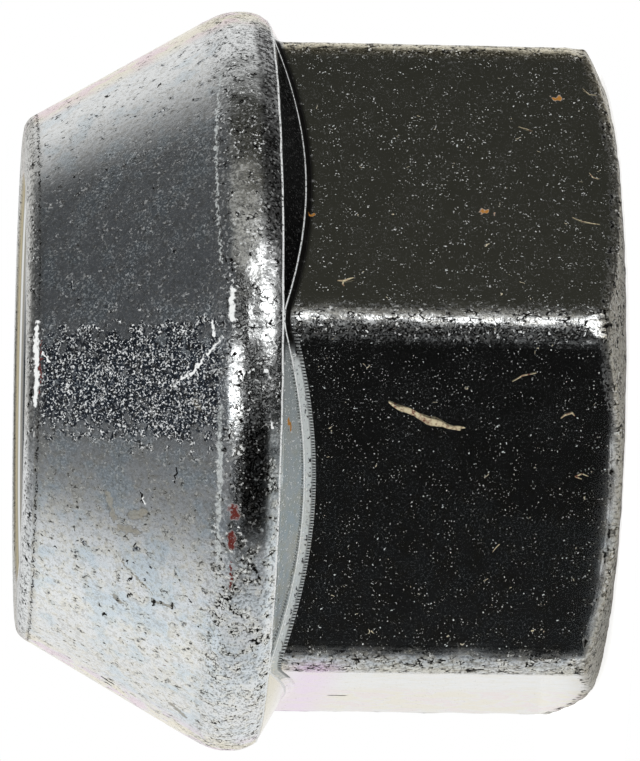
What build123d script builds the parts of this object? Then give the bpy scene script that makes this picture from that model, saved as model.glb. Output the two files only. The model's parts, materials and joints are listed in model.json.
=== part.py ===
"""Open-end bulge lug nut with a 60 degree conical seat: one solid.

The nut stands on its hex end face, +Z runs along the axis towards the seat, the origin is the
centre of the hex end face. Millimetres.
"""
from build123d import *
import math
import os

# Hex drive
across_flats = 19.0          # wrench size
hex_corner_round = 0.9       # upright rounds between neighbouring flats
overall_length = 17.5        # hex end face to small end face

# Turned end of the hex
end_chamfer_inset = 0.23     # the chamfer's slope meets the end face this far inside the flats
end_chamfer_angle = 27.0     # slope of the chamfer, measured from the end face
end_dome_round = 1.5         # between the end face and the chamfer
chamfer_edge_round = 0.2     # between the chamfer and the hex sides

# Conical seat
seat_half_angle = 30.0       # half of the 60 degree seat
seat_small_radius = 7.8      # where the cone's slope would meet the small end face
seat_edge_round = 0.5        # between the small end face and the cone

# Bulge
bulge_overhang = 0.42        # how far the crest stands out past the hex's rounded corners
crest_land = 0.25            # cylindrical land left between the two crest rounds
crest_front_round = 1.35     # cone to crest
crest_rear_round = 1.15      # from the land back to the arris of the rear cone
rear_arris_clearance = 0.17  # the arris lies this far outside the hex's rounded corners
rear_cone_angle = 30.0       # slope of the turned rear cone, measured from a plane across the axis
run_out_fillet = 0.25        # where the hex runs out into the rear cone

# Bore for an M12 x 1.5 thread, cut to the thread's minor diameter
thread_minor_radius = 5.2
thread_major_radius = 6.0
countersink_clearance = 0.25  # how far the 45 degree countersinks pass the major radius

# Hex corners before and after rounding, and the crest that covers them
flat_radius = across_flats / 2
sharp_corner_radius = flat_radius / math.cos(math.radians(30))
corner_radius = (flat_radius - hex_corner_round) / math.cos(math.radians(30)) + hex_corner_round
bulge_radius = corner_radius + bulge_overhang

# Heights along the crest. The front round turns by the seat's half angle, so it starts and ends
# its radius * tan(half that turn) from the corner of cone and land.
front_turn = math.radians(seat_half_angle)
crest_corner_z = overall_length - (bulge_radius - seat_small_radius) / math.tan(front_turn)
land_start_z = crest_corner_z - crest_front_round * math.tan(front_turn / 2)
land_end_z = land_start_z - crest_land

# The rear round stops short at a sharp arris, where the turned rear cone cuts it. The cone is
# carried on inside the hex, and the hex ends inside the bulge, so that the two overlap.
arris_radius = corner_radius + rear_arris_clearance
rear_round_centre = bulge_radius - crest_rear_round
arris_turn = math.degrees(math.acos((arris_radius - rear_round_centre) / crest_rear_round))
arris_z = land_end_z - crest_rear_round * math.sin(math.radians(arris_turn))
rear_inner_z = arris_z - (arris_radius - thread_major_radius) * math.tan(math.radians(rear_cone_angle))
hex_top_z = land_end_z

end_slope_radius = flat_radius - end_chamfer_inset
end_slope_z = (sharp_corner_radius - end_slope_radius) * math.tan(math.radians(end_chamfer_angle))
countersink_depth = thread_major_radius + countersink_clearance - thread_minor_radius

with BuildPart() as lug_nut:
    # Hex drive with rounded corners
    with BuildSketch(Plane.XY):
        RegularPolygon(radius=flat_radius, side_count=6, major_radius=False)
        fillet(vertices(), radius=hex_corner_round)
    extrude(amount=hex_top_z)

    # Domed chamfer turned on its end
    with BuildSketch(Plane.XZ):
        with BuildLine():
            Polyline(
                (0, 0),
                (end_slope_radius, 0),
                (sharp_corner_radius, end_slope_z),
                (sharp_corner_radius, hex_top_z),
                (0, hex_top_z),
                close=True,
            )
        make_face()
        fillet(vertices().group_by(Axis.Y)[0].sort_by(Axis.X)[-1], radius=end_dome_round)
    revolve(axis=Axis.Z, mode=Mode.INTERSECT)
    fillet(edges(Select.NEW) - edges().group_by(Axis.Z)[0], radius=chamfer_edge_round)

    # Conical seat and bulge
    with BuildSketch(Plane.XZ):
        with BuildLine():
            Polyline(
                (0, overall_length),
                (seat_small_radius, overall_length),
                (bulge_radius, crest_corner_z),
                (bulge_radius, land_end_z),
            )
            rear_round = CenterArc(
                center=(rear_round_centre, land_end_z),
                radius=crest_rear_round,
                start_angle=0,
                arc_size=-arris_turn,
            )
            Polyline(
                rear_round @ 1,
                (thread_major_radius, rear_inner_z),
                (0, rear_inner_z),
                (0, overall_length),
            )
        make_face()
        fillet(vertices().group_by(Axis.Y)[-1].sort_by(Axis.X)[-1], radius=seat_edge_round)
        fillet(vertices().group_by(Axis.X)[-1].sort_by(Axis.Y)[-1], radius=crest_front_round)
    revolve(axis=Axis.Z)

    # The hex runs out into the rear cone in six crescents with a small fillet along each
    fillet(edges(Select.NEW), radius=run_out_fillet)

    # Through bore with a countersink at both ends
    Hole(thread_minor_radius)
    chamfer(edges(Select.NEW), length=countersink_depth)

lug_nut.part.label = "lug_nut"
os.makedirs("parts", exist_ok=True)
export_step(lug_nut.part, "parts/lug_nut.step")
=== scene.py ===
import json
from math import acos, atan2, cos, pi, radians, sin, tan

import bmesh
import bpy
import numpy as np
from bpy.props import FloatProperty, FloatVectorProperty, PointerProperty
from mathutils import Matrix, Vector, noise


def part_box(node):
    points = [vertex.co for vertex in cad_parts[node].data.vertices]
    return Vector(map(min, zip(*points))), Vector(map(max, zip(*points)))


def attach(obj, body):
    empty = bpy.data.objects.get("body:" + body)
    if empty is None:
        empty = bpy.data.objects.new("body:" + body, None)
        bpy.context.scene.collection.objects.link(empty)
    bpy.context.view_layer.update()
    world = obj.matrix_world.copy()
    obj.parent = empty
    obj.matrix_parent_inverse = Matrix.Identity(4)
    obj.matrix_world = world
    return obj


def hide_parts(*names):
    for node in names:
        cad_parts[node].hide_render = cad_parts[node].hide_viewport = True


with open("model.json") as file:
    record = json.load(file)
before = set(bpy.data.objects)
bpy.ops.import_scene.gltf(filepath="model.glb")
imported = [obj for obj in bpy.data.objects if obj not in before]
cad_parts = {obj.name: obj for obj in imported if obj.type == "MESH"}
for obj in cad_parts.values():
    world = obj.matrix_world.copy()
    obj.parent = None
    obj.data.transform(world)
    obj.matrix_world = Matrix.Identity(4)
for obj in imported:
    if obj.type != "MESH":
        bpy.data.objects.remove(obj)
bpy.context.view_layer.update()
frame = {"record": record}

bl_info = {
    "name": "Bulge Lug Nut",
    "version": (2, 0, 0),
    "blender": (4, 5, 0),
    "location": "View3D > Sidebar > Lug Nut",
    "description": "Dresses a zinc-plated bulge lug nut and sets a studio around it",
    "category": "Object",
}

NODE = "lug_nut"
BODY = "root"
MM = 0.001

NUT_LOW, NUT_HIGH = (Vector(corner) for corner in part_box(NODE))
NUT_LENGTH = NUT_HIGH.z - NUT_LOW.z
BULGE_RADIUS = (NUT_HIGH.x - NUT_LOW.x) / 2
THREAD_RADIUS = next(m["dims"]["r_mm"] for m in frame["record"]["mounts"] if m["name"] == "thread") * MM


def smooth(low, high, x):
    """0 below low, 1 above high, and an S-shaped rise between them."""
    t = np.clip((np.asarray(x, float) - low) / (high - low), 0, 1)
    return t * t * (3 - 2 * t)


def linear(hex_colour):
    """The linear RGBA of an sRGB hex colour such as '#C8CACC'."""
    channels = [int(hex_colour[i:i + 2], 16) / 255 for i in (1, 3, 5)]
    return tuple(c / 12.92 if c <= 0.04045 else ((c + 0.055) / 1.055) ** 2.4 for c in channels) + (1.0,)


# ---------------------------------------------------------------- sizes and finishes

def length(name, description, in_mm):
    """A length that the user can change, with its default in mm."""
    return FloatProperty(name=name, description=description, default=in_mm * MM, unit="LENGTH",
                         precision=5)


def angle(name, description, degrees):
    """An angle that the user can change, with its default in degrees."""
    return FloatProperty(name=name, description=description, default=radians(degrees), subtype="ANGLE")


def colour(name, description, hex_colour):
    """A colour that the user can change, with its default as sRGB hex."""
    return FloatVectorProperty(name=name, description=description, default=linear(hex_colour),
                               subtype="COLOR", size=4, min=0, max=1)


class LugNutSizes(bpy.types.PropertyGroup):
    """Sizes of the nut that the frame doesn't give."""
    across_flats: length("Across Flats", "Wrench size of the hex", 19.0)
    corner_round: length("Corner Round", "Upright rounds of the hex", 0.9)
    chamfer_inset: length("Chamfer Inset", "How far inside the flats the end chamfer starts", 0.23)
    chamfer_angle: angle("Chamfer Angle", "Slope of the end chamfer from the end face", 27)
    dome_round: length("Dome Round", "Round between end face and chamfer", 1.5)
    edge_round: length("Edge Round", "Round between chamfer and hex sides", 0.2)
    seat_angle: angle("Seat Angle", "Slope of the seat from the axis", 30)
    seat_radius: length("Seat Radius", "Where the seat's slope would meet the small end face", 7.8)
    seat_round: length("Seat Round", "Round at the seat's small end", 0.5)
    crest_land: length("Crest Land", "Straight land on the bulge's crest", 0.25)
    crest_front: length("Crest Front Round", "Round between seat and crest", 1.35)
    crest_rear: length("Crest Rear Round", "Round between crest and the rear cone's arris", 1.15)
    arris_clearance: length("Arris Clearance", "How far outside the hex's corners the arris lies", 0.17)
    burr_height: length("Burr Height", "Fine burrs along the arris and the fillet", 0.014)
    burr_width: length("Burr Width", "Width of those burrs", 0.07)
    rear_angle: angle("Rear Cone Angle", "Slope of the rear cone from a plane across the axis", 30)
    run_out: length("Run-out Fillet", "Fillet where the hex runs out into the rear cone", 0.25)
    thread_pitch: length("Thread Pitch", "Rise of the thread in one turn", 1.5)
    thread_radius: length("Thread Major Radius", "Radius at the thread's roots", 6.0)
    countersink: length("Countersink", "How far the countersinks pass the thread's roots", 0.25)
    dent_width: length("Dent Width", "How wide the blows on the forged skin are", 0.9)
    dent_depth: length("Dent Depth", "How deep the blows on the forged skin are", 0.03)
    corner_wear: length("Corner Wear", "How far the hex corners are beaten in at the hex end", 0.12)
    forged_fade: length("Forged Fade", "How softly the forged skin gives way to smooth faces", 0.25)


class LugNutFinish(bpy.types.PropertyGroup):
    """Colours of the plate, its chromate film, the wear and the dirt, and of the painted shade and painted
    highlights.
    """
    plate: colour("Zinc Plate", "Bright zinc under a clear chromate", "#DDDFDF")
    blue: colour("Blue Film", "Where the chromate film is thinnest", "#BCD0DC")
    straw: colour("Straw Film", "Where the chromate film is thicker", "#DCD2B4")
    violet: colour("Violet Film", "Where the film turns from straw to blue", "#E0BCE4")
    rose: colour("Rose Film", "Where the chromate film is thickest", "#E2C3D0")
    # Dark oil and soot, and also the colour of the painted shade
    grime_and_shade: colour("Grime", "Dark oil and soot in the hollows", "#1B1917")
    oil: colour("Oil", "Thin dark oil between the salts", "#223850")
    rust: colour("Rust", "Rust where the plate is broken", "#5E1203")
    dust: colour("Dust", "Dust on the faces", "#8E8672")
    # Also the colour of the painted glint on the run-out fillet
    film: colour("Dried Film", "Dried plating salts, in lines and dots", "#C6CCCB")
    # Also the colour of the painted highlights: the catch-light on the burrs, the ring in the countersink and
    # glints among the white specks
    salts: colour("Salts", "Dried salts and burnished burrs", "#F2F4F3")
    lint: colour("Lint", "Straw, fibres and lint", "#C9BD9C")
    amber: colour("Amber", "Flecks of chaff in the film", "#A8701E")


class LugNutStage(bpy.types.PropertyGroup):
    """The studio around the nut."""
    camera_distance: length("Camera Distance", "From the camera to the nut's middle", 199.157)
    camera_lens: FloatProperty(
        name="Lens", description="Focal length on a film 36 mm high", default=308.85, unit="CAMERA")
    camera_azimuth: angle("Azimuth", "Direction from the nut to the camera, from +X", -69.7)
    camera_height: angle("Elevation", "Angle of the camera above the floor", 4.0)
    camera_roll: angle("Roll", "Turn of the camera from lying on its side", 1.0)
    shift_right: FloatProperty(
        name="Shift Right", description="Framing, as a share of the height", default=0.0176)
    shift_up: FloatProperty(name="Shift Up", description="Framing, as a share of the height", default=0.0026)
    floor_radius: length("Floor Radius", "Size of the round floor", 14.0)
    floor_colour: colour("Floor", "White paper", "#E7E7E7")
    key_distance: length("Key Distance", "From the key lamp to the nut's middle", 350)
    key_length: length("Key Length", "Longer side of the key lamp", 230)
    key_width: length("Key Width", "Shorter side of the key lamp", 115)
    key_power: FloatProperty(name="Key Power", description="Power of the key lamp", default=0.2, unit="POWER")


# ---------------------------------------------------------------- the nut's form

FACE_ROWS, SEAT_ROUND_ROWS, CONE_ROWS, FRONT_ROWS, LAND_ROWS = 3, 6, 20, 12, 3
REAR_ROWS, REAR_CONE_ROWS, FILLET_ROWS, SIDE_ROWS, EDGE_ROWS, CHAMFER_ROWS = 14, 16, 6, 42, 4, 14
CORNER_COLUMNS, FLAT_COLUMNS = 18, 66
BORE_COLUMNS, BORE_ROWS = 112, 176
CORNER_REACH = 1.25           # columns are gathered this far past a corner's round, as a share of it
ARRIS_GATHER, CONE_EASE, SIDE_EASE = 1.7, 0.85, 0.6      # how strongly rows are drawn to the folds
ROOT_FLAT = 1 / 16            # half the flat at the thread's root, as a share of the pitch
FINER, SHALLOWER = 2.7, 3     # how much narrower and less deep the small dents are
FLATTENED = 0.35              # the unevenness has no peaks above this share of its height
BORE_PLACE = 50               # where the bore's wall starts on the unrolled skin, in mm
FAR = 9                       # the distance, in mm, that the bore gets where one has no meaning
SHARP = radians(40)      # edges sharper than this aren't shaded smooth


def hex_columns(s):
    """The columns' angles, each one's angle from its corner, how far the centre of a corner's round lies from
    the axis, and the angle from a corner to its round's end."""
    flat = s.across_flats / 2
    centre = (flat - s.corner_round) / cos(radians(30))
    tangent = atan2(s.corner_round / 2, centre + s.corner_round * cos(radians(30)))
    edge = CORNER_REACH * tangent
    corner = np.linspace(-edge, edge, CORNER_COLUMNS + 1)[:-1]
    side = np.linspace(edge, radians(60) - edge, FLAT_COLUMNS + 1)[:-1]
    sector = np.concatenate([corner, side])
    from_corner = np.where(sector > radians(30), sector - radians(60), sector)
    theta = np.concatenate([sector + k * radians(60) for k in range(-4, 2)])
    return theta, np.tile(from_corner, 6), centre, tangent


def arc(centre_r, centre_z, radius, start, end, rows, gather=1.0):
    """r and z of points on an arc, its start left out; gather above 1 draws them towards its end."""
    t = 1 - (1 - np.linspace(0, 1, rows + 1)[1:]) ** gather
    centre_r, centre_z, start, end = (np.asarray(v)[..., None] for v in (centre_r, centre_z, start, end))
    at = start + (end - start) * t
    return centre_r + radius * np.cos(at), centre_z + radius * np.sin(at)


def line(r0, z0, r1, z1, rows, ease=0.0):
    """r and z of points on a straight run, its start left out; ease draws them towards both ends."""
    t = np.linspace(0, 1, rows + 1)[1:]
    t = t - ease * np.sin(2 * pi * t) / (2 * pi)
    r0, z0, r1, z1 = (np.asarray(v)[..., None] for v in (r0, z0, r1, z1))
    return r0 + (r1 - r0) * t, z0 + (z1 - z0) * t


def outer_profile(s):
    """Every column's angle and distance from its corner, its rows' r and z, and the rows' zones.

    The rows run over the outside, from the bore's rim at the small end to its rim at the hex end. The
    distance is 1 where the corner's round ends.
    """
    theta, off_corner, centre, tangent = hex_columns(s)
    flat = s.across_flats / 2
    in_corner = np.abs(off_corner) < tangent
    inside = np.sqrt(np.maximum(s.corner_round ** 2 - (centre * np.sin(off_corner)) ** 2, 0))
    side = np.where(in_corner, centre * np.cos(off_corner) + inside,
                    flat / np.cos(radians(30) - np.abs(off_corner)))
    runs, zones = [], []

    def put(run, zone):
        """Adds a run's rows: the same in every column where the run gives them only once."""
        rows = np.shape(run[0])[-1]
        runs.append([np.broadcast_to(part, (len(theta), rows)) for part in run])
        zones.extend([zone] * rows)

    # Small end, seat and the front of the bulge
    rim = s.thread_radius + s.countersink
    land_start = NUT_LENGTH - (BULGE_RADIUS - s.seat_radius) / tan(s.seat_angle)
    land_start -= s.crest_front * tan(s.seat_angle / 2)
    land_end = land_start - s.crest_land
    seat_edge = s.seat_radius - s.seat_round * tan((radians(90) - s.seat_angle) / 2)
    front_centre = BULGE_RADIUS - s.crest_front
    put(([rim], [NUT_LENGTH]), "face")
    put(line(rim, NUT_LENGTH, seat_edge, NUT_LENGTH, FACE_ROWS), "face")
    put(arc(seat_edge, NUT_LENGTH - s.seat_round, s.seat_round, radians(90), s.seat_angle,
            SEAT_ROUND_ROWS), "rim")
    put(line(runs[-1][0][:, -1], runs[-1][1][:, -1], front_centre + s.crest_front * cos(s.seat_angle),
             land_start + s.crest_front * sin(s.seat_angle), CONE_ROWS), "cone")
    put(arc(front_centre, land_start, s.crest_front, s.seat_angle, 0, FRONT_ROWS), "crest")
    put(line(BULGE_RADIUS, land_start, BULGE_RADIUS, land_end, LAND_ROWS), "crest")

    # The turned rear cone cuts the rear round at the arris, and meets the hex in a fillet
    rear_centre = BULGE_RADIUS - s.crest_rear
    arris_r = centre + s.corner_round + s.arris_clearance
    turn = acos((arris_r - rear_centre) / s.crest_rear)
    arris_z = land_end - s.crest_rear * sin(turn)
    put(arc(rear_centre, land_end, s.crest_rear, 0, -turn, REAR_ROWS, ARRIS_GATHER), "crest")
    slope, f = s.rear_angle, s.run_out
    fillet_r = side + f
    fillet_z = arris_z - (arris_r - fillet_r) * tan(slope) - f / cos(slope)
    put(line(arris_r, arris_z, fillet_r - f * sin(slope), fillet_z + f * cos(slope),
             REAR_CONE_ROWS, CONE_EASE), "rear")
    put(arc(fillet_r, fillet_z, f, radians(90) + slope, pi, FILLET_ROWS), "fillet")

    # Hex side, and the dome and chamfer on its end
    chamfer_r = flat - s.chamfer_inset
    steep = tan(s.chamfer_angle)
    dome_r = chamfer_r - s.dome_round * tan(s.chamfer_angle / 2)
    dome_end = dome_r + s.dome_round * sin(s.chamfer_angle)
    e = s.edge_round
    on_line = side - e + e * sin(s.chamfer_angle) >= dome_end
    gap = np.clip(side - e - dome_r, 0, s.dome_round - e)
    edge_z = np.where(on_line, (side - e - chamfer_r) * steep + e / cos(s.chamfer_angle),
                      s.dome_round - np.sqrt((s.dome_round - e) ** 2 - gap ** 2))
    down = np.where(on_line, radians(90) - s.chamfer_angle, np.arctan2(s.dome_round - edge_z, gap))
    put(line(side, fillet_z, side, edge_z, SIDE_ROWS, SIDE_EASE), "side")
    put(arc(side - e, edge_z, e, 0, -down, EDGE_ROWS), "edge")
    foot = runs[-1][0][:, -1]
    r = foot[:, None] + (dome_r - foot)[:, None] * np.linspace(0, 1, CHAMFER_ROWS + 1)[1:]
    z = np.where(r >= dome_end, (r - chamfer_r) * steep,
                 s.dome_round - np.sqrt(np.maximum(s.dome_round ** 2 - (r - dome_r) ** 2, 0)))
    put((r, z), "chamfer")
    put(line(dome_r, 0, rim, 0, FACE_ROWS), "face")
    r, z = (np.concatenate(parts, axis=1) for parts in zip(*runs))
    return theta, np.abs(off_corner) / tangent, r, z, np.array(zones)


def thread_surface(s, start):
    """Angle, r and z of the bore's wall, from the hex end up: a 60 degree thread cut right through."""
    theta = start + np.linspace(0, 2 * pi, BORE_COLUMNS, endpoint=False)
    rim = s.thread_radius + s.countersink
    z = np.linspace(0, NUT_LENGTH, BORE_ROWS + 1)[1:-1]
    phase = (z[None, :] / s.thread_pitch - theta[:, None] / (2 * pi)) % 1.0
    depth = s.thread_radius - THREAD_RADIUS
    flank = depth * tan(radians(30)) / s.thread_pitch
    groove = np.clip((ROOT_FLAT + flank - np.abs(phase - 0.5)) / flank, 0, 1)
    sink = np.maximum(rim - z, rim - (NUT_LENGTH - z))
    r = np.maximum(THREAD_RADIUS + depth * groove, sink[None, :])
    return theta, r, np.broadcast_to(z, r.shape)


def swept(theta, r, z):
    """The vectors of all columns and rows, from the columns' angles and every row's r and z."""
    return np.stack([r * np.cos(theta)[:, None], r * np.sin(theta)[:, None], z], axis=2)


def around(degrees):
    """The direction out from the axis at an angle in degrees."""
    return cos(radians(degrees)), sin(radians(degrees)), 0.0


def on_skin(s, degrees, height):
    """The point of the nut's skin at an angle in degrees and a height in mm, in mm."""
    theta, _, r, z, _ = outer_profile(s)
    column = np.argmin(np.abs((theta - radians(degrees) + pi) % (2 * pi) - pi))
    radius = np.interp(height * MM, z[column][::-1], r[column][::-1]) / MM
    return Vector(around(degrees)) * radius + Vector((0, 0, height))


def fractal(points, scale, octaves, seed):
    """Soft noise between about -1 and 1 at the given points, its features about one scale wide."""
    at = points / scale + np.array([17.3, 5.1, 9.7]) * seed
    total, size, weight = np.zeros(len(points)), 1.0, 1.0
    for _ in range(octaves):
        total += weight * np.array([noise.noise(Vector(p)) for p in at * size])
        size, weight = size * 2.03, weight * 0.5
    return total


def new_object(name, data):
    """A new object in the scene."""
    made = bpy.data.objects.new(name, data)
    bpy.context.scene.collection.objects.link(made)
    return made


class LUGNUT_OT_nut(bpy.types.Operator):
    """Makes the nut with its thread, hammered bulge and worn corners, in place of the plain solid"""
    bl_idname = "lug_nut.make_nut"
    bl_label = "Make Nut"

    def execute(self, context):
        s = context.scene.lug_nut_sizes
        theta, off_corner, r, z, zones = outer_profile(s)
        columns, rows = r.shape
        steps = np.hypot(np.diff(r), np.diff(z))
        along = np.concatenate([np.zeros((columns, 1)), np.cumsum(steps, axis=1)], axis=1)

        def beyond(zone, last=True):
            """Distance of every point along the profile past the zone's last row, or before its first."""
            index = np.flatnonzero(zones == zone)[-1 if last else 0]
            return along - along[:, index:index + 1]

        # Where the skin is as forged and tumbled: the bulge, the hex corners, the hex end's edge and the rim
        fade = s.forged_fade
        corner = 1 - smooth(0.75, 1.5, off_corner)[:, None]
        on_bulge = smooth(-1.6 * fade, -1.1 * fade, beyond("cone"))
        on_bulge = on_bulge * (1 - smooth(0, fade / 3, beyond("crest")))
        on_side = smooth(-fade / 4, fade / 4, beyond("fillet"))
        on_end = smooth(-fade, fade / 2, beyond("side")) * (1 - smooth(-fade, fade, beyond("chamfer")))
        on_rim = 1 - smooth(-fade / 4, fade / 4, beyond("rim"))
        forged = np.clip(on_bulge + on_end + on_rim + on_side * corner, 0, 1)
        turned = smooth(-fade / 8, fade / 8, beyond("crest")) * (1 - on_side)

        # Blows of the die and the tumbling barrel leave it uneven
        points = swept(theta, r, z)
        dr, dz = np.gradient(r, axis=1), np.gradient(z, axis=1)
        size = np.maximum(np.hypot(dr, dz), 1e-9)
        out = swept(theta, -dz / size, dr / size)
        uneven = np.zeros(columns * rows)
        dents = (s.dent_width, s.dent_depth, 1), (s.dent_width / FINER, s.dent_depth / SHALLOWER, 2)
        for reach, height, seed in dents:
            uneven += height * np.minimum(fractal(points.reshape(-1, 3), reach, 2, seed) - FLATTENED, 0)
        uneven = uneven.reshape(columns, rows) * forged * (zones != "face")
        for zone in ("crest", "rear"):
            uneven += s.burr_height * (1 - smooth(0, s.burr_width / 2, np.abs(beyond(zone))))
        ridge = 1 - smooth(0.2, 1.1, off_corner)[:, None]
        uneven -= s.corner_wear * ridge * (1 - smooth(0, 2 * fade, np.abs(beyond("side"))))
        points = points + out * uneven[:, :, None]

        bore_theta, bore_r, bore_z = thread_surface(s, theta[0])
        bore = swept(bore_theta, bore_r, bore_z)
        verts = np.concatenate([points.reshape(-1, 3), bore.reshape(-1, 3)])
        bore_rows = bore.shape[1]
        faces, unrolled = [], []

        def outer(j, i):
            return (j % columns) * rows + i

        def inner(j, i):
            return columns * rows + (j % BORE_COLUMNS) * bore_rows + i

        def wall(index, girth, heights, place=0):
            """The faces of a wall, and where their corners lie on the unrolled skin, in mm."""
            for j in range(len(heights)):
                left, right = girth[j], girth[j + 1]
                for i in range(heights.shape[1] - 1):
                    faces.append((index(j, i), index(j, i + 1), index(j + 1, i + 1), index(j + 1, i)))
                    low, high = place + heights[j, i] / MM, place + heights[j, i + 1] / MM
                    unrolled.extend(((left, low), (left, high), (right, high), (right, low)))

        turn = 2 * pi
        girth = np.append(theta, theta[0] + turn) * BULGE_RADIUS / MM
        wall(outer, girth, along)
        wall(inner, np.append(bore_theta, theta[0] + turn) * THREAD_RADIUS / MM, bore_z, BORE_PLACE)
        # The end faces' rims join the bore's coarser columns
        nearest = np.round((np.append(theta, theta[0] + turn) - theta[0]) / turn * BORE_COLUMNS).astype(int)
        for outer_row, inner_row, flip in ((rows - 1, 0, False), (0, bore_rows - 1, True)):
            for j in range(columns):
                a, b = nearest[j], nearest[j + 1]
                ring = [outer(j, outer_row), inner(a, inner_row), outer(j + 1, outer_row)]
                if b > a:
                    ring.insert(2, inner(b, inner_row))
                faces.append(tuple(reversed(ring)) if flip else tuple(ring))
                unrolled += [(girth[j], BORE_PLACE - 1)] * len(ring)

        mesh = bpy.data.meshes.new("nut_body")
        mesh.from_pydata(verts.tolist(), [], faces)
        mesh.uv_layers.new(name="unrolled").data.foreach_set("uv", np.array(unrolled).ravel())
        seat = smooth(0, fade, beyond("rim")) * (1 - smooth(-fade, fade, beyond("cone")))
        worn = np.clip(on_rim + on_end, 0, 1)
        in_sink = (bore_r > s.thread_radius + 0.01 * MM).astype(float)
        for name, values, inside in (
                ("forged", forged, 0), ("turned", turned, 0), ("seat", seat, 0), ("side", on_side, 0),
                ("worn", worn, 0), ("sink", 0 * worn, in_sink), ("from_rim", beyond("rim") / MM, FAR),
                ("from_arris", beyond("crest") / MM, -FAR), ("from_run_out", beyond("fillet") / MM, -FAR),
                ("from_edge", beyond("side") / MM, -FAR)):
            attribute = mesh.attributes.new(name, "FLOAT", "POINT")
            inside = np.broadcast_to(inside, bore_r.shape)
            data = np.concatenate([values.ravel(), inside.ravel()]).astype(np.float32)
            attribute.data.foreach_set("value", data)
        mesh.shade_smooth()
        mesh.set_sharp_from_angle(angle=SHARP)
        nut = new_object("nut_body", mesh)
        mesh.materials.append(zinc_plated_forging(context.scene.lug_nut_finish, s))
        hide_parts(NODE)
        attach(nut, BODY)
        return {"FINISHED"}


# ---------------------------------------------------------------- marks

# A mark runs from one place on the skin to another, each given as an angle in degrees and a height in mm. Its
# width in mm comes last. A round mark has only one place.
SCRATCHES = (
    (-58, 12.3, -61, 12.6, 0.05), (-63, 12, -64.5, 12.3, 0.05), (-64.5, 12.3, -67, 12.9, 0.05),
    (-67, 12.9, -70.5, 13.3, 0.05), (-72, 13.4, -78, 13.4, 0.04), (-9, 16, -17, 15.2, 0.04),
    (-24, 14.2, -30, 14.9, 0.03), (-40, 15.5, -47, 15.1, 0.03),
)
DARK_STROKES = (
    (-84, 13.2, -86.5, 13.2, 0.08), (-89.5, 14.15, -91, 14.1, 0.08), (-144.5, 14.9, -145, 14.6, 0.12),
    (-112.5, 14.7, -113.5, 14.65, 0.07), (-118.5, 15.05, -118.5, 15, 0.08),
    (-111.5, 14.4, -110.5, 14.3, 0.06), (-110, 13.65, -111, 13.7, 0.08),
    (-109.5, 13.45, -110.5, 13.4, 0.06), (-109, 13.15, -110, 13.1, 0.07),
    (-107.5, 14.4, -106.5, 14.3, 0.06), (-108, 14.75, -108, 14.7, 0.05), (-106, 13.95, -106.5, 13.95, 0.05),
    (-103.5, 14.5, -103.5, 14.45, 0.07), (-100, 14.3, -99.5, 14.25, 0.08), (-107, 12.65, -107, 12.6, 0.06),
    (-147.5, 14.7, -147.5, 14.8, 0.12), (-116.5, 15.7, 0.06),
    (-116.5, 15.2, 0.06), (-8.5, 13.6, -9.5, 13.7, 0.07), (-98, 10.9, -100.5, 10.7, 0.1),
    (-112, 10.8, -113, 10.6, 0.1), (-154.5, 7.9, -154.5, 7.5, 0.16), (-2, 15.2, -3, 15.1, 0.06),
)
RUST_SPOTS = (
    (-89, 11.55, -90, 11.5, 0.26), (-93, 11.55, -95, 11.55, 0.2), (-97.5, 11.55, -102.5, 11.5, 0.07),
    (-30, 13.2, 0.06), (-125, 13.2, 0.06), (-62, 17.1, -69, 17.1, 0.06),
    (-69, 17.1, -73.5, 17.15, 0.05), (-16.5, 9.5, 0.05),
)
AMBER_FLECKS = (
    (-75.5, 10, -77, 9.9, 0.12), (-39, 9.3, -39, 9.25, 0.11), (-37.5, 4.25, -37.5, 4.1, 0.12),
    (-38, 3.9, 0.08), (-11, 1.9, -11, 1.7, 0.13),
)
STAINS = (
    (-73, 12.7, -74, 12.6, 0.16), (-91, 15.1, -95.5, 14.9, 0.2), (-94, 14.4, -93, 14.05, 0.26),
    (-97, 14.7, -97, 14.25, 0.22), (-104, 14.65, -108.5, 13.7, 0.06), (-112.5, 14.75, -113.5, 14.6, 0.14),
    (-110, 13.65, -109.5, 13.1, 0.12), (-137.5, 12.9, -139.5, 12.5, 0.18),
)
FILM_LINES = (
    (-14, 11.9, -21, 12, 0.07), (-21, 12, -29, 12.1, 0.08), (-29, 12.1, -36.5, 12.1, 0.07),
    (-36.5, 12.1, -44, 12.1, 0.06), (-44, 12.1, -51.5, 12, 0.06), (-73.5, 12, -84.5, 11.95, 0.16),
    (-84.5, 11.95, -97.5, 11.9, 0.14), (-97.5, 11.9, -112, 11.9, 0.1),
)
WHITE_FLECKS = (
    (-58, 17.2, -61, 17.25, 0.13), (-61.5, 17.25, -69, 17.2, 0.16), (-69, 17.2, -75.5, 17.25, 0.15),
    (-64.5, 17.05, -66.5, 16.85, 0.07), (-56, 11.7, -60.5, 11.7, 0.15), (-68, 10.7, -69, 10.6, 0.09),
    (-75.5, 10.5, -76.5, 10.5, 0.08), (-63.5, 10.5, -64.5, 10.4, 0.06), (-63, 12, -65, 12.3, 0.08),
    (-65, 12.3, -67, 12.6, 0.08), (-67, 12.6, -68.5, 12.8, 0.1), (-68.5, 12.8, -69.5, 13.1, 0.09),
    (-69.5, 13.1, -70.5, 13.3, 0.08), (-60.5, 12.25, -63, 12.2, 0.09), (-90, 14.1, -91.5, 14.05, 0.07),
    (-92, 11.4, -93, 11.25, 0.06),
)

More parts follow.
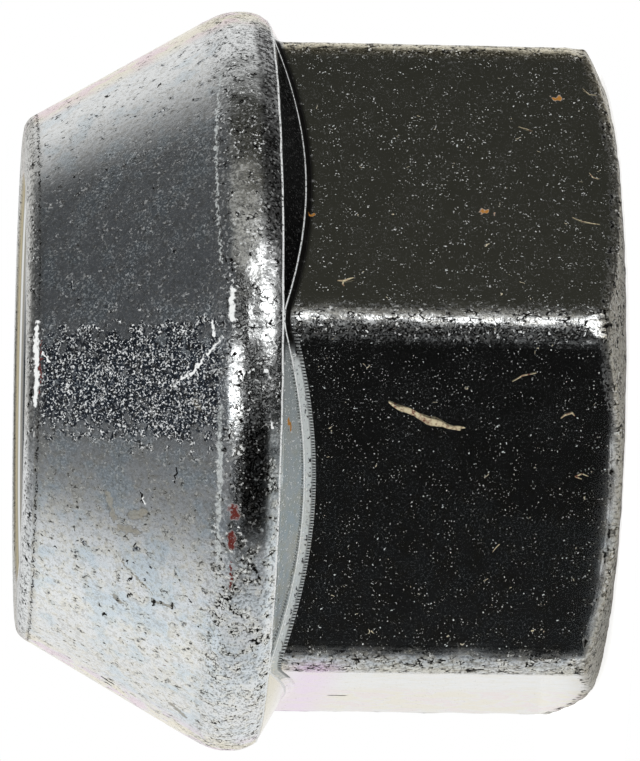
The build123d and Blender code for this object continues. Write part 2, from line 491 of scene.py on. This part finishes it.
# Straw and fibres: a name, the width in mm, and the places that each lies along.
FIBRES = (
    ("straw", 0.20, ((-73, 7), (-74.5, 6.4), (-76.5, 5.6), (-77.5, 4.9))),
    ("straw_barb", 0.10, ((-76, 5.8), (-77, 5.3), (-77, 4.8))),
    ("curl", 0.05, ((-69, 3.5), (-68, 3.2), (-67.5, 2.8))),
    ("hook", 0.06, ((-75, 2), (-74.5, 1.9), (-74, 1.7), (-74.5, 1.6))),
    ("loop", 0.05, ((-86, 1.3), (-85.5, 1.5), (-85, 1.3), (-85.5, 1.1))),
    ("splinter", 0.05, ((-98.5, 3.6), (-100, 3.8))),
    ("fork", 0.07, ((-53, 8.6), (-53, 8.4), (-52.5, 8.1))),
    ("fork_tine", 0.05, ((-54, 8.4), (-53.5, 8.45), (-53, 8.4))),
    ("thread_end", 0.04, ((-9, 1), (-10, 0.8), (-10, 0.6))),
    ("hair", 0.035, ((-28, 1), (-29, 0.9), (-29.5, 0.7))),
    ("long_hair", 0.035, ((-38.5, 1.6), (-39.5, 1.3), (-40, 0.8))),
    ("short_hair", 0.035, ((-17.5, 3), (-18, 2.8), (-18.5, 2.6))),
)
FIBRE_SIDES, FIBRE_STEPS = 6, 8
# As shares of a fibre's width: its height above the skin, its depth and how far it strays from its line
FIBRE_LIFT, FIBRE_DEPTH, FIBRE_WANDER = 0.35, 1 / 3, 0.5


class LUGNUT_OT_fibres(bpy.types.Operator):
    """Lays the straw and the fibres that are stuck to the hex faces"""
    bl_idname = "lug_nut.lay_fibres"
    bl_label = "Lay Fibres"

    def execute(self, context):
        s = context.scene.lug_nut_sizes
        material = dry_straw(context.scene.lug_nut_finish)
        for name, width, places in FIBRES:
            route = [on_skin(s, *place) for place in places]
            points = []
            for start, end in zip(route, route[1:]):
                points += [start.lerp(end, k / FIBRE_STEPS) for k in range(FIBRE_STEPS)]
            points.append(route[-1])
            # Each direction wanders by its own noise: noise_vector isn't the same in every run
            wander = [Vector([noise.noise(p * 3 + Vector((0, 0, 20 * axis))) for axis in range(3)])
                      * width * FIBRE_WANDER for p in points]
            middle = [p + w for p, w in zip(points, wander)]
            verts, faces = [], []
            for k, p in enumerate(middle):
                along = (middle[min(k + 1, len(middle) - 1)] - middle[max(k - 1, 0)]).normalized()
                outward = Vector((p.x, p.y, 0)).normalized()
                across = along.cross(outward).normalized()
                taper = sin(pi * (k + 0.6) / (len(middle) + 0.2)) ** 0.5
                ragged = width * taper * (0.75 + 0.5 * noise.noise(p * 4))
                for side in range(FIBRE_SIDES):
                    turn = 2 * pi * side / FIBRE_SIDES
                    offset = across * cos(turn) * ragged / 2
                    offset += outward * sin(turn) * width * taper * FIBRE_DEPTH / 2
                    verts.append((p + offset + outward * width * FIBRE_LIFT) * MM)
            for k in range(len(middle) - 1):
                for side in range(FIBRE_SIDES):
                    a, b = k * FIBRE_SIDES + side, k * FIBRE_SIDES + (side + 1) % FIBRE_SIDES
                    faces.append((a, b, b + FIBRE_SIDES, a + FIBRE_SIDES))
            faces.append(tuple(reversed(range(FIBRE_SIDES))))
            faces.append(tuple(range(len(verts) - FIBRE_SIDES, len(verts))))
            mesh = bpy.data.meshes.new(name)
            mesh.from_pydata(verts, [], faces)
            mesh.materials.append(material)
            mesh.shade_smooth()
            fibre = new_object(name, mesh)
            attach(fibre, BODY)
        return {"FINISHED"}


# ---------------------------------------------------------------- materials

def add(tree, kind, inputs=None, output=None, **settings):
    """Adds a node with its settings and inputs, and gives back one of its outputs."""
    node = tree.nodes.new("ShaderNode" + kind)
    for name, value in settings.items():
        setattr(node, name, value)
    for name, value in (inputs or {}).items():
        socket = node.inputs[name] if isinstance(name, int) else next(
            s for s in node.inputs if s.name == name and s.enabled)
        if isinstance(value, bpy.types.NodeSocket):
            tree.links.new(value, socket)
        else:
            socket.default_value = value
    return node.outputs[output] if output else next((s for s in node.outputs if s.enabled), None)


def layered(tree, base, layers, data_type):
    """Lays each (mask, value) over the base in turn: colours, or numbers."""
    for mask, value in layers:
        base = add(tree, "Mix", {"Factor": mask, "A": base, "B": value}, data_type=data_type)
    return base


def heaped(tree, layers):
    """Adds up heights in mm, each given as (mask, relief, height)."""
    total = 0.0
    for mask, relief, height in layers:
        masked = add(tree, "Math", {0: mask, 1: relief}, operation="MULTIPLY")
        total = add(tree, "Math", {0: masked, 1: height, 2: total}, operation="MULTIPLY_ADD")
    return total


def strokes(tree, s, place, marks):
    """A mask of marks on the skin, from how far a place is from each mark's line against its width."""
    total = 0.0
    for mark in marks:
        a, b, width = on_skin(s, *mark[:2]), on_skin(s, *mark[-3:-1]), mark[-1]
        run = b - a if (b - a).length > 0 else Vector((0.001, 0, 0))
        past = add(tree, "VectorMath", {0: place, 1: a}, operation="SUBTRACT")
        share = add(tree, "VectorMath", {0: past, 1: run / run.length_squared}, "Value",
                    operation="DOT_PRODUCT")
        share = add(tree, "Math", {0: share, 1: 0.0}, operation="MAXIMUM")
        share = add(tree, "Math", {0: share, 1: 1.0}, operation="MINIMUM")
        nearest = add(tree, "VectorMath", {0: run, "Scale": share}, operation="SCALE")
        away = add(tree, "VectorMath", {0: past, 1: nearest}, "Value", operation="DISTANCE")
        near = add(tree, "MapRange", {"Value": away, "From Min": width * 0.75, "From Max": width * 0.35},
                   interpolation_type="SMOOTHSTEP", clamp=False)
        total = add(tree, "Math", {0: total, 1: near}, operation="MAXIMUM")
    return total


def specks(tree, place, per_mm, size, share):
    """A mask of scattered specks of up to that size in mm, in that share of the cells."""
    cells = add(tree, "TexVoronoi", {"Vector": place, "Scale": per_mm}, "Distance").node
    parts = add(tree, "SeparateColor", {"Color": cells.outputs["Color"]}, "Red").node
    kept = add(tree, "Math", {0: parts.outputs["Red"], 1: share}, operation="LESS_THAN")
    edge = add(tree, "MapRange", {"Value": parts.outputs["Green"], "To Min": size * per_mm * 0.2,
                                  "To Max": size * per_mm * 0.5}, clamp=False)
    near = add(tree, "Math", {0: cells.outputs["Distance"], 1: edge}, operation="LESS_THAN")
    return add(tree, "Math", {0: near, 1: kept}, operation="MULTIPLY")


def new_material(name):
    """A material, its tree, its shader and the place on the object in mm."""
    material = bpy.data.materials.new(name)
    material.use_nodes = True
    tree = material.node_tree
    metres = add(tree, "TexCoord", None, "Object")
    place = add(tree, "VectorMath", {0: metres, "Scale": 1 / MM}, operation="SCALE")
    return material, tree, tree.nodes["Principled BSDF"], place


TOOTH_PITCH = 0.1             # of the fine teeth that the turning tool left along the run-out, in mm
TOOTH_LENGTH = 0.11           # how far they reach on to the flat, in mm
WANDER = (0.3, 0.3, 0.3)      # how far the edges of marks and specks wander, in mm
DRAWN = (1, 1, 0.3)           # squeezes a noise's place so that it is drawn out along the axis


def zinc_plated_forging(finish, s):
    """Bright zinc on cold-forged steel: a cool mirror on the flats and seat, hammered soft on the bulge."""
    # The thin chromate over the zinc shows as faint blue, straw and rose clouds, under dust, lint and oil.
    # Painted shade, painted highlights and a painted sheen on the sides are laid into the colour as well.
    material, tree, shader, place = new_material("zinc_plated_forging")
    unrolled = add(tree, "UVMap", None, "UV", uv_map="unrolled")
    forged, turned, seat, side, worn, sink, from_rim, from_arris, from_run_out, from_edge = (
        add(tree, "Attribute", None, "Fac", attribute_type="GEOMETRY", attribute_name=name)
        for name in ("forged", "turned", "seat", "side", "worn", "sink", "from_rim", "from_arris",
                     "from_run_out", "from_edge"))
    wander = add(tree, "TexNoise", {"Vector": place, "Scale": 7.0, "Detail": 2.0}, "Color")
    wander = add(tree, "VectorMath", {0: wander, 1: (-0.5, -0.5, -0.5)}, operation="ADD")
    ragged = add(tree, "VectorMath", {0: wander, 1: WANDER, 2: place}, operation="MULTIPLY_ADD")
    drawn = add(tree, "VectorMath", {0: place, 1: DRAWN}, operation="MULTIPLY")
    height = add(tree, "SeparateXYZ", {"Vector": place}, "Z")
    outward = add(tree, "VectorMath", {0: place, 1: (1, 1, 0)}, operation="MULTIPLY")
    outward = add(tree, "VectorMath", {0: outward}, operation="NORMALIZE")

    def both(*masks):
        """Where all the masks are. One given as (value, low, high) rises from 0 at low to 1 at high."""
        total = None
        for mask in masks:
            if isinstance(mask, tuple):
                value, low, high = mask
                mask = add(tree, "MapRange", {"Value": value, "From Min": low, "From Max": high},
                           interpolation_type="SMOOTHSTEP", clamp=False)
            total = mask if total is None else add(tree, "Math", {0: total, 1: mask}, operation="MULTIPLY")
        return total

    def either(*masks):
        """Where any of the masks is."""
        total = masks[0]
        for mask in masks[1:]:
            total = add(tree, "Math", {0: total, 1: mask}, operation="MAXIMUM")
        return total

    def facing(degrees, reach, full):
        """1 on the side of the nut within full degrees of that direction, and 0 beyond reach degrees."""
        cosine = add(tree, "VectorMath", {0: outward, 1: around(degrees)}, "Value", operation="DOT_PRODUCT")
        return both((cosine, cos(radians(reach)), cos(radians(full))))

    def band(value, low, high, soft):
        """1 where the value lies between the two, and 0 a little outside them."""
        return both((value, low - soft, low + soft), (value, high + soft, high - soft))

    def curls(per_mm, half_width, gate, at=place):
        """Thin curly lines, kept only where the gate is open: the level lines of a noise."""
        level = add(tree, "TexNoise", {"Vector": at, "Scale": per_mm, "Detail": 1.0, "Roughness": 0.6}, "Fac")
        level = add(tree, "Math", {0: level, 1: -0.5}, operation="ADD")
        level = add(tree, "Math", {0: level}, operation="ABSOLUTE")
        return both((level, half_width, half_width * 0.4), gate)

    # Noises, each with its features per mm and its detail
    blows, knocks, fine, grain, ticks, broad, middling = (
        add(tree, "TexNoise", {"Vector": at, "Scale": per_mm, "Detail": detail, "Roughness": 0.6}, "Fac")
        for at, per_mm, detail in (
            (place, 2.0, 1.0), (place, 6.5, 2.0), (place, 16.0, 2.0), (place, 11.0, 1.0),
            (drawn, 11.0, 1.0), (place, 0.9, 3.0), (place, 3.1, 3.0)))

    # Relief, with its heights in mm. The fine waves of the turning tool are drawn coarser than they are.
    everywhere, corner = 1.0, both(forged, side)
    cracks = curls(3.6, 0.026, both((middling, 0.5, 0.55), forged))
    crevices = curls(4.0, 0.03, both((middling, 0.45, 0.53), corner), drawn)
    nicks = curls(3.0, 0.016, both((middling, 0.57, 0.6), seat))
    scratches = strokes(tree, s, ragged, SCRATCHES)
    tool_marks = add(tree, "TexWave", {"Vector": place, "Scale": 1.6, "Distortion": 0.6, "Detail": 1.0},
                     "Fac", wave_type="BANDS", bands_direction="Z")
    teeth = add(tree, "TexWave", {"Vector": unrolled, "Scale": pi / (10 * TOOTH_PITCH),
                                  "Distortion": 2.4, "Detail": 1.0},
                "Fac", wave_type="BANDS", bands_direction="X")
    near_run_out = band(from_run_out, 0.0, TOOTH_LENGTH, 0.02)
    toothed = both((teeth, 0.45, 0.6), near_run_out, side, facing(-98, 44, 33))
    relief = heaped(tree, (
        (forged, blows, 0.014), (forged, knocks, 0.006), (forged, grain, 0.004), (seat, knocks, 0.0045),
        (seat, grain, 0.0006), (side, fine, 0.0005), (everywhere, scratches, -0.012),
        (turned, tool_marks, 0.0008), (everywhere, toothed, 0.03)))
    bump = add(tree, "Bump", {"Height": relief, "Distance": MM, "Strength": 1.0}, "Normal")

    # Salts, dust, lint and grime, with painted shade and painted highlights
    patchy = both((broad, 0.4, 0.6))
    upper_run_out, lower_run_out = facing(-32, 33.5, 31), facing(-98, 33, 31)
    clusters = both((middling, 0.47, 0.6))
    salted = add(tree, "Math", {0: middling, 1: 3.0, 2: facing(-70.0, 14, 1)}, operation="MULTIPLY_ADD")
    crystals = both(seat, (salted, 1.85, 2.25))
    ringlets = curls(5.5, 0.035, both(crystals, clusters))
    wobble = add(tree, "Math", {0: knocks, 1: 0.3, 2: -0.15}, operation="MULTIPLY_ADD")
    rim_line = add(tree, "Math", {0: from_rim, 1: wobble}, operation="ADD")
    edge_line = add(tree, "Math", {0: from_edge, 1: wobble}, operation="ADD")
    on_rim = both((from_rim, 0.05, -0.02))
    by_arris = both(forged, band(from_arris, -0.62, 0.02, 0.12), facing(-24, 34, 20))
    # Painted shade: dark colour on the upper crescent of the rear cone, along the arris and on a patch of the
    # crest's rear round
    painted_shade = either(both(turned, upper_run_out, 0.95), both(by_arris, 0.55),
                  both(forged, facing(-84.5, 12, 6), band(from_arris, -1.15, -0.4, 0.12),
                       (knocks, 0.3, 0.42), 0.85))
    dusted = specks(tree, ragged, 5.5, 0.05, 0.25)
    # White specks: dried salts, with painted glints among them on the forged skin, the seat and the flats
    white = either(
        both((grain, 0.58, 0.63), forged, either(0.2, both(clusters, 0.75))), ringlets,
        both((grain, 0.59, 0.64), seat, clusters, 0.25), both((fine, 0.55, 0.64), crystals, 0.85),
        both((fine, 0.52, 0.66), either(both(seat, either(0.06, both(patchy, 0.14))), both(worn, 0.3))),
        both((fine, 0.63, 0.69), side, either(0.1, both(clusters, 0.8))), both(dusted, seat, 0.4),
        both((ticks, 0.64, 0.68), turned, 0.5))
    pits = either(both((grain, 0.45, 0.38), forged, either(0.4, clusters, by_arris)),
                  both((grain, 0.42, 0.37), worn, 0.5), both((fine, 0.52, 0.44), crystals, 0.75),
                  both((fine, 0.44, 0.34), seat, 0.22),
                  both((ticks, 0.38, 0.33), either(both(seat, clusters, 0.8), both(seat, 0.2))))
    dots = both(specks(tree, ragged, 3.6, 0.06, 0.3), side)
    sooty = both(specks(tree, ragged, 3.0, 0.075, 0.3), either(seat, forged, turned))
    lint = both(curls(2.6, 0.013, (middling, 0.67, 0.7)), side)
    film = both((fine, 0.45, 0.8), side, (broad, 0.3, 0.7), 0.07)
    hollows = both((knocks, 0.55, 0.4), (fine, 0.45, 0.6), either(both(forged, 0.35), both(worn, 0.4)))
    run_out_strip = band(from_run_out, -0.24, 0.01, 0.02)
    # Painted highlight: a white catch-light laid along the burrs at the arris and at the fillet's edge
    burrs = both(either(band(from_arris, -0.045, 0.04, 0.012), band(from_run_out, -0.3, -0.22, 0.012)),
                 (fine, 0.34, 0.46))
    shadowed = either(both(band(from_run_out, -0.23, -0.04, 0.03), upper_run_out, 0.9),
                      both(near_run_out, side, lower_run_out), both(by_arris, (knocks, 0.6, 0.4), 0.7),
                      both(band(rim_line, 0.08, 0.15, 0.02), (fine, 0.42, 0.55)),
                      both(band(edge_line, -0.2, -0.08, 0.04), side, clusters))
    blots, rust, chaff, stains, film_lines, flecks = (
        strokes(tree, s, ragged, marks)
        for marks in (DARK_STROKES, RUST_SPOTS, AMBER_FLECKS, STAINS, FILM_LINES, WHITE_FLECKS))
    rust = both(rust, (fine, 0.24, 0.42))
    # Grime and dark marks, with the painted shade of shadowed laid in the same colour
    dark = either(blots, cracks, crevices, both(nicks, 0.7), sooty, shadowed, pits,
                  both(band(stains, 0.2, 0.6, 0.15), 0.5))
    # Painted highlight: a pale glint on the run-out fillet and on its teeth, on the lower side
    painted_fillet_glint = either(both(run_out_strip, lower_run_out, (grain, 0.36, 0.48), 0.8), both(toothed, lower_run_out))

    # Tone: the film's tints and a painted sheen on the sides, then dust and salts, then the marks, the
    # painted shade and the painted highlights
    # Painted sheen: straw and rose tints on the sides at 20 and -160 degrees, and straw on the hex corner at
    # 0 degrees, standing in for the film's colour at a grazing glance
    below, painted_bottom_sheen, painted_top_sheen = facing(-130, 70, 30), facing(-160, 20, 9), facing(20, 20, 9)
    top_corner = both(corner, facing(0, 24, 10), 0.8)
    sallow = both(corner, facing(-117, 20, 10), (ticks, 0.42, 0.6), 0.2)
    underneath = both(facing(-150, 32, 28), either(side, turned))
    clean_rim = both(on_rim, either(0.4, both(facing(-115, 45, 25), 0.9)))
    tone = layered(tree, finish.plate, (
        (both((broad, 0.42, 0.6), below, 0.26), finish.blue),
        (both((middling, 0.45, 0.6), below, 0.3), finish.straw),
        (both(seat, (broad, 0.5, 0.62), 0.3), finish.blue), (both(crystals, 0.9), finish.oil),
        (both(seat, (knocks, 0.52, 0.6), 0.25), finish.dust),
        (both(painted_bottom_sheen, (broad, 0.5, 0.56), 0.8), finish.rose), (both(painted_bottom_sheen, (broad, 0.54, 0.44)), finish.straw),
        (both(underneath, (height, 9.3, 10.0), 0.8), finish.straw),
        (both(underneath, band(height, 8.2, 9.4, 0.6)), finish.violet),
        (both(underneath, (broad, 0.5, 0.6), 0.4), finish.straw),
        (painted_top_sheen, finish.straw), (both(painted_top_sheen, (broad, 0.46, 0.56), 0.8), finish.rose),
        (both(underneath, 0.25), finish.dust), (top_corner, finish.straw),
        (both(corner, (ticks, 0.5, 0.6), 0.35), finish.dust), (sallow, finish.dust),
        (both(worn, 0.72), finish.dust), (clean_rim, finish.plate), (both(stains, 0.7), finish.dust),
        (both(film_lines, 0.8), finish.film), (film, finish.dust), (white, finish.salts),
        (painted_shade, finish.grime_and_shade), (sink, finish.dust),
        # Painted highlight: a white ring round the countersink near the small end
        (both(sink, band(height, 17.3, 17.36, 0.02)), finish.salts),
        (both(sink, (height, 17.36, 17.4)), finish.lint), (hollows, finish.grime_and_shade), (lint, finish.lint),
        (dots, finish.film), (dark, finish.grime_and_shade), (painted_fillet_glint, finish.film), (burrs, finish.salts),
        (flecks, finish.salts), (chaff, finish.amber), (rust, finish.rust)), "RGBA")
    dull = either(dots, lint, film, rust, chaff, flecks, white, painted_fillet_glint, both(burrs, 0.8), sink,
                  both(film_lines, 0.7), sallow, both(stains, 0.5))
    metal = add(tree, "Math", {0: 1.0, 1: dull}, operation="SUBTRACT")
    gloss = layered(tree, 0.12, (
        (seat, 0.15), (both(seat, patchy, (fine, 0.4, 0.6)), 0.27), (turned, 0.12), (forged, 0.17),
        (worn, 0.3), (scratches, 0.5), (toothed, 0.4), (either(dull, dark, hollows), 0.8)), "FLOAT")
    for socket, value in (("Base Color", tone), ("Metallic", metal), ("Roughness", gloss), ("Normal", bump)):
        tree.links.new(value, shader.inputs[socket])
    return material


def dry_straw(finish):
    """Dry straw and lint: dull, pale tan, with darker streaks along it."""
    material, tree, shader, place = new_material("dry_straw")
    streaks = add(tree, "TexNoise", {"Vector": place, "Scale": 12.0, "Detail": 3.0}, "Fac")
    streaks = add(tree, "MapRange", {"Value": streaks, "From Min": 0.45, "From Max": 0.7})
    tone = layered(tree, finish.lint, ((streaks, finish.rust),), "RGBA")
    tree.links.new(tone, shader.inputs["Base Color"])
    shader.inputs["Roughness"].default_value = 0.85
    return material


# ---------------------------------------------------------------- stage

DARK_ROOM = "#0A0A09"
HAZE = "#E7E7E7"              # the room's even light on dull surfaces such as dust and paper
PAPER_MIRRORED = 0.38         # how bright the paper is in the nut's reflections
PAPER_SHOWN = 0.8             # the glow that lifts the paper to the white around it
# In the camera's frame (right, top, towards it): how far the floor lies off the nut in mm, and where the key
# lamp stands
FLOOR_OFF, KEY_FROM = (0, -4, -2.5), (-0.48, -0.03, 0.87)
# What the nut sees around it, as soft-edged fields: strength, colour, and limits, each with an axis in the
# camera's frame and where along that axis the field starts and where it is full.
SWEEP = (
    (0.95, "#FFFFFF", (((0, 0, -1), 0.07, 0.73),)),
    (0.75, "#FAFCFF", (((0, -1, -0.58), 0.25, 0.85),)),
    (0.25, "#FAFCFF", (((0, -1, 0), 0.05, 0.6), ((-1, 0, 0), 0.4, 0.8))),
    (0.5, "#F4FAFC", (((0, -1, 0), 0.1, 0.5), ((1, 0, 0), 0.45, 0.8))),
)
LAMPS = (
    # A dim ceiling
    (0.045, "#B8CCE8", (((-1, 0, 0), 0.4, 0.6),)),
    (0.05, "#FFFDF8", (((-1, 0, 0), 0.4, 0.6), ((0, 1, 0), -0.04, 0.08))),
    (0.05, "#FFFDF8", (((-1, 0, 0), 0.4, 0.6), ((0, -1, 0), 0.06, 0.18))),
    (0.031, "#F8F6DA", (((0, 1, 0), 0.75, 0.95), ((-1, 0, 0), -0.5, -0.2))),
    (0.06, "#FFF8E8", (((0, 0.87, 0.5), 0.93, 1.0),)),
    (0.46, "#FFFDF6", (((0, 1, 0), 0.45, 0.72), ((0, -1, 0), -0.97, -0.75), ((1, 0, 0), -0.68, -0.4),
                       ((-1, 0, 0), -0.35, -0.05), ((0, 0, 1), 0.0, 0.2))),
    # A soft box at the side
    (3.0, "#FFFFFF", (((0.5, 1, 0), 0.36, 0.52), ((0, 1, 0), 0.12, 0.2), ((-0.3, -1, 0), -0.8, -0.6),
                      ((1, 0, 0), 0.1, 0.17), ((-1, 0, 0), -0.93, -0.68), ((0, 0, 1), 0.0, 0.25))),
)


def camera_frame(stage):
    """The matrix from the camera's frame to the world: its columns are right, top and towards the camera."""
    facing = Vector((cos(stage.camera_azimuth), sin(stage.camera_azimuth), 0))
    across = Vector((-facing.y, facing.x, 0))
    down = Vector((0, 0, -1))
    tilt, roll = stage.camera_height, stage.camera_roll
    along = cos(tilt) * down + sin(tilt) * facing
    right = cos(roll) * along + sin(roll) * across
    top = cos(roll) * across - sin(roll) * along
    back = -sin(tilt) * down + cos(tilt) * facing
    return Matrix((right, top, back)).transposed()


def fields(tree, direction, turn, table, total=(0.0, 0.0, 0.0)):
    """The light of the fields in a table, on top of that total."""
    for strength, hex_colour, limits in table:
        light = Vector(linear(hex_colour)[:3]) * strength
        for axis, start, full in limits:
            along = add(tree, "VectorMath", {0: direction, 1: turn @ Vector(axis)}, "Value",
                        operation="DOT_PRODUCT")
            share = add(tree, "MapRange", {"Value": along, "From Min": start, "From Max": full},
                        interpolation_type="SMOOTHSTEP", clamp=False)
            light = add(tree, "VectorMath", {0: light, "Scale": share}, operation="SCALE")
        total = add(tree, "VectorMath", {0: total, 1: light}, operation="ADD")
    return total


def studio_world(turn):
    """A white sweep behind and below, a dim ceiling, a soft box at the side and a dark room in front."""
    world = bpy.data.worlds.new("studio")
    world.use_nodes = True
    tree = world.node_tree
    tree.nodes.clear()
    direction = add(tree, "TexCoord", None, "Generated")
    sweep = fields(tree, direction, turn, SWEEP)
    sweep = add(tree, "VectorMath", {0: sweep, 1: (1, 1, 1)}, operation="MINIMUM")
    room = add(tree, "VectorMath", {0: sweep, 1: linear(DARK_ROOM)[:3]}, operation="ADD")
    room = fields(tree, direction, turn, LAMPS, room)
    path = add(tree, "LightPath", None, "Is Camera Ray").node
    room = add(tree, "Mix", {"Factor": path.outputs["Is Diffuse Ray"], "A": room, "B": linear(HAZE)},
               data_type="RGBA")
    shown = add(tree, "Mix", {"Factor": path.outputs["Is Camera Ray"], "A": room, "B": (1, 1, 1, 1)},
                data_type="RGBA")
    sky = add(tree, "Background", {"Color": shown, "Strength": 1.0})
    add(tree, "OutputWorld", {"Surface": sky})
    return world


def white_paper(stage):
    """Matt white paper: it takes the nut's soft shadow, and fades into the white around it."""
    material = bpy.data.materials.new("white_paper")
    material.use_nodes = True
    tree = material.node_tree
    tree.nodes.clear()
    path = add(tree, "LightPath", None, "Is Camera Ray").node
    mirrored = add(tree, "Math", {0: path.outputs["Is Glossy Ray"], 1: path.outputs["Is Transmission Ray"]},
                   operation="MAXIMUM")
    glow = add(tree, "Math", {0: mirrored, 1: PAPER_MIRRORED}, operation="MULTIPLY")
    glow = add(tree, "Mix", {"Factor": path.outputs["Is Camera Ray"], "A": glow, "B": PAPER_SHOWN},
               data_type="FLOAT")
    lit = add(tree, "BsdfDiffuse", {"Color": stage.floor_colour})
    shine = add(tree, "Emission", {"Color": (1, 1, 1, 1), "Strength": glow})
    paper = add(tree, "AddShader", {0: lit, 1: shine})
    add(tree, "OutputMaterial", {"Surface": paper})
    return material


class LUGNUT_OT_stage(bpy.types.Operator):
    """Sets the floor, the studio light and the camera"""
    bl_idname = "lug_nut.set_stage"
    bl_label = "Set Stage"

    def execute(self, context):
        scene = context.scene
        stage = scene.lug_nut_stage
        turn = camera_frame(stage)
        middle = Vector((0, 0, NUT_LENGTH / 2))

        camera_data = bpy.data.cameras.new("camera")
        camera_data.sensor_fit = "VERTICAL"
        camera_data.sensor_height = 36.0
        camera_data.lens = stage.camera_lens
        camera_data.shift_x = stage.shift_right
        camera_data.shift_y = stage.shift_up
        camera_data.clip_start = 0.01
        scene.camera = new_object("camera", camera_data)
        scene.camera.matrix_world = Matrix.Translation(
            middle + turn.col[2] * stage.camera_distance) @ turn.to_4x4()

        mesh = bpy.data.meshes.new("floor")
        bm = bmesh.new()
        bmesh.ops.create_circle(bm, cap_ends=True, segments=128, radius=stage.floor_radius)
        bm.to_mesh(mesh)
        bm.free()
        mesh.materials.append(white_paper(stage))
        floor = new_object("floor", mesh)
        floor.location = turn @ Vector(FLOOR_OFF) * MM
        floor.location.z = 0

        scene.world = studio_world(turn)
        key_data = bpy.data.lights.new("key", "AREA")
        key_data.shape = "ELLIPSE"
        key_data.size = stage.key_length
        key_data.size_y = stage.key_width
        key_data.energy = stage.key_power
        key = new_object("key", key_data)
        toward = (turn @ Vector(KEY_FROM)).normalized()
        across = toward.cross(turn.col[1]).normalized()
        key.matrix_world = Matrix.Translation(middle + toward * stage.key_distance) @ Matrix(
            (across, toward.cross(across), toward)).transposed().to_4x4()
        key.visible_camera = False
        scene.view_settings.view_transform = "Standard"
        return {"FINISHED"}


class LUGNUT_PT_panel(bpy.types.Panel):
    """Lists the steps in the sidebar"""
    bl_idname = "LUGNUT_PT_panel"
    bl_label = "Lug Nut"
    bl_space_type = "VIEW_3D"
    bl_region_type = "UI"
    bl_category = "Lug Nut"

    def draw(self, context):
        for operator in OPERATORS:
            self.layout.operator(operator.bl_idname)


GROUPS = {"lug_nut_sizes": LugNutSizes, "lug_nut_finish": LugNutFinish, "lug_nut_stage": LugNutStage}
OPERATORS = (LUGNUT_OT_nut, LUGNUT_OT_fibres, LUGNUT_OT_stage)
CLASSES = (*GROUPS.values(), *OPERATORS, LUGNUT_PT_panel)


def register():
    for cls in CLASSES:
        bpy.utils.register_class(cls)
    for name, cls in GROUPS.items():
        setattr(bpy.types.Scene, name, PointerProperty(type=cls))


def unregister():
    for name in GROUPS:
        delattr(bpy.types.Scene, name)
    for cls in reversed(CLASSES):
        bpy.utils.unregister_class(cls)


def main():
    register()
    bpy.ops.lug_nut.make_nut()
    bpy.ops.lug_nut.lay_fibres()
    bpy.ops.lug_nut.set_stage()


if __name__ == "__main__":
    main()
